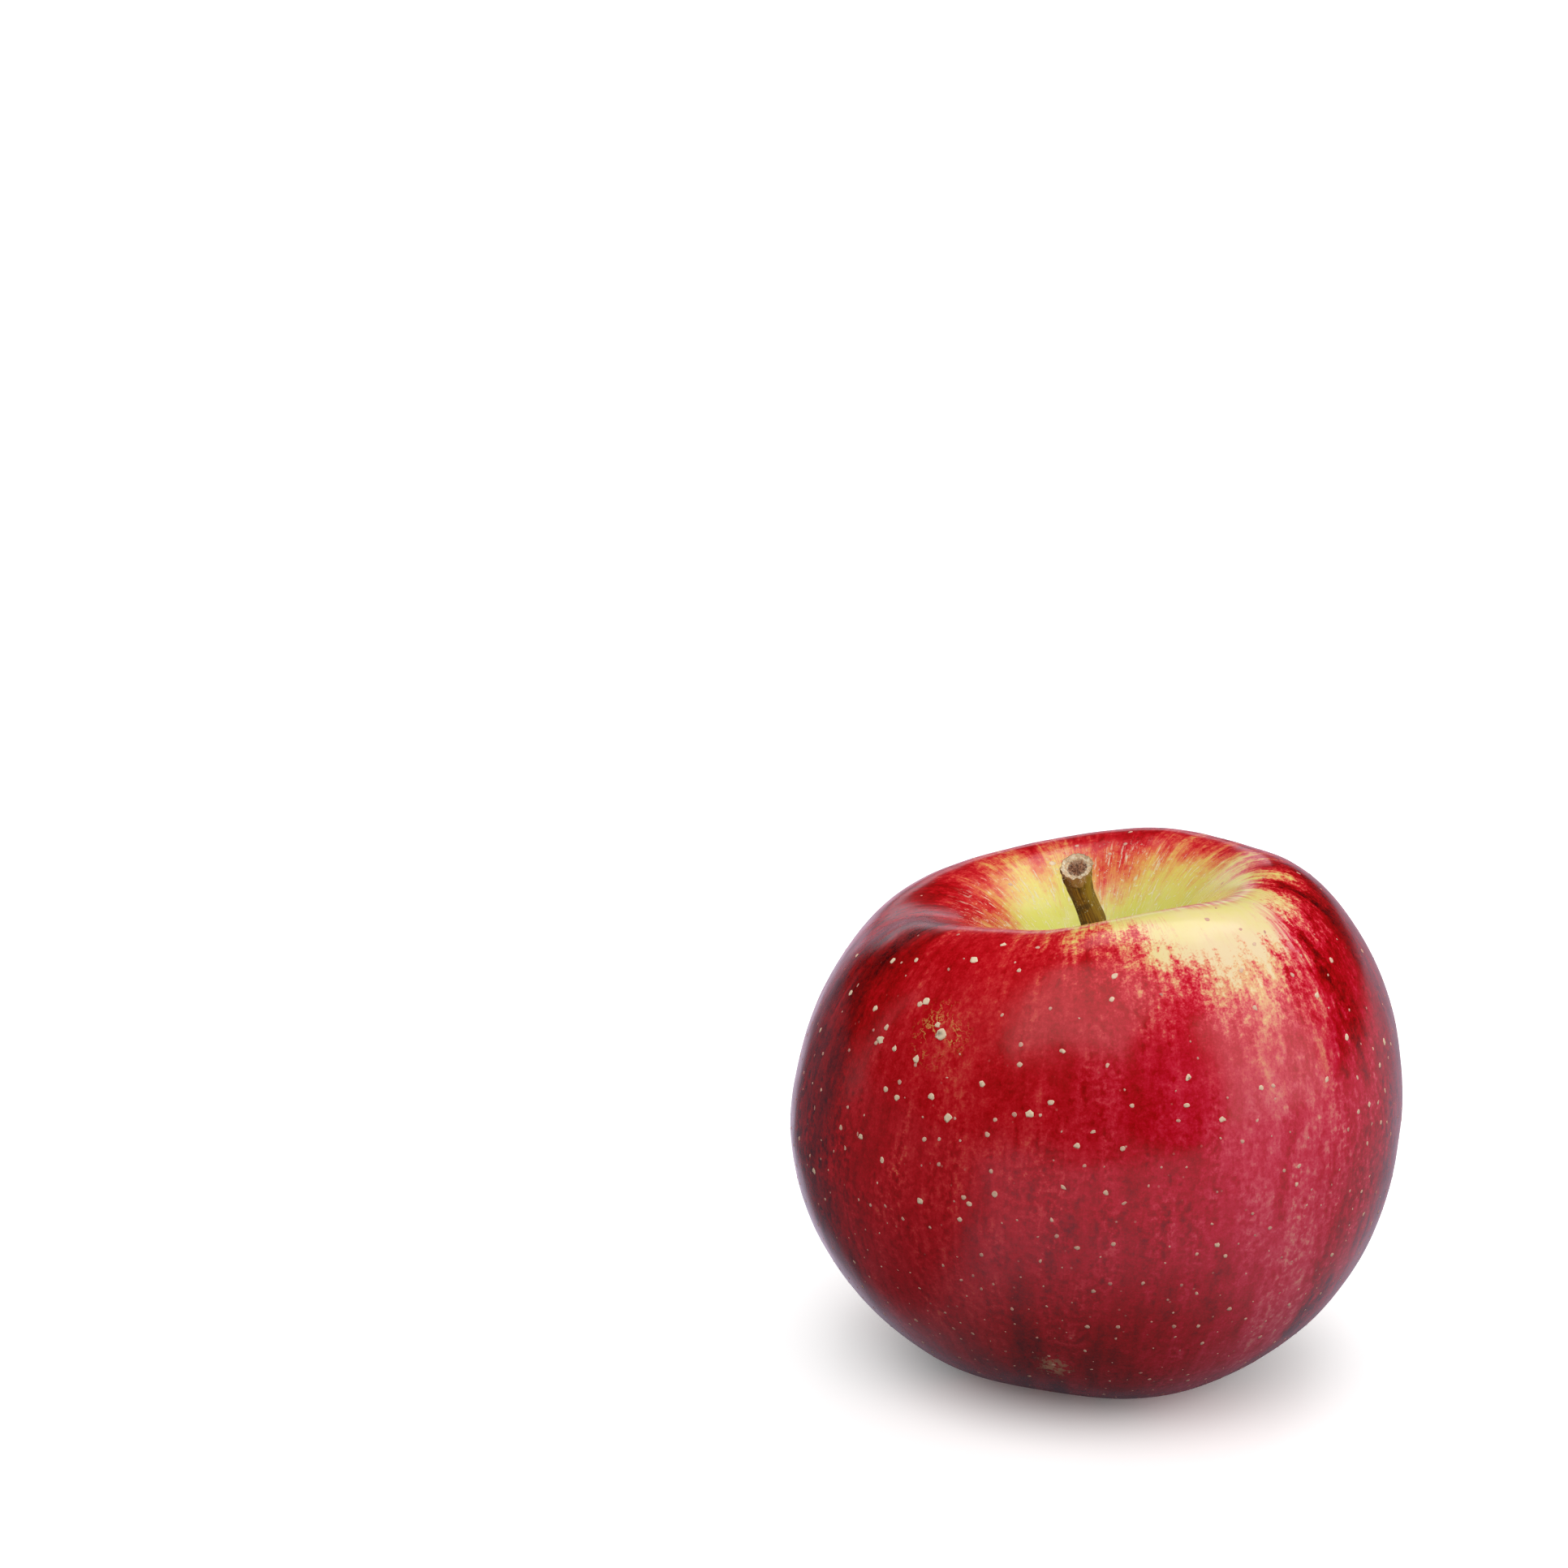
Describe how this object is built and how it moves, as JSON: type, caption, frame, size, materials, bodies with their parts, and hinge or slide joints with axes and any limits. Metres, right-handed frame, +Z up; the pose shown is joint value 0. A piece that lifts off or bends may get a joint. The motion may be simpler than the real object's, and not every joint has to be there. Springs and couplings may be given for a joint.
{
  "type": "apple",
  "caption": "Whole ripe apple with its woody stem, deep stem cavity and a small flat ring to stand on; the dried calyx closes the basin below.",
  "frame": {"origin": "the fruit's axis, in the plane that the fruit rests on", "axes": "+Z up along the fruit's axis, from the calyx to the stem; +X towards the higher shoulder; the stem leans to -X and -Y"},
  "size_m": [0.0788, 0.0814, 0.0691],
  "materials": {
    "skin": "gloss",
    "stem": "matte",
    "sepal": "matte",
    "stamen": "matte"
  },
  "bodies": {
    "root": {"fruit": "skin", "stem": "stem", "sepal_1": "sepal", "sepal_2": "sepal", "sepal_3": "sepal", "sepal_4": "sepal", "sepal_5": "sepal", "stamen_tuft": "stamen"}
  },
  "joints": []
}
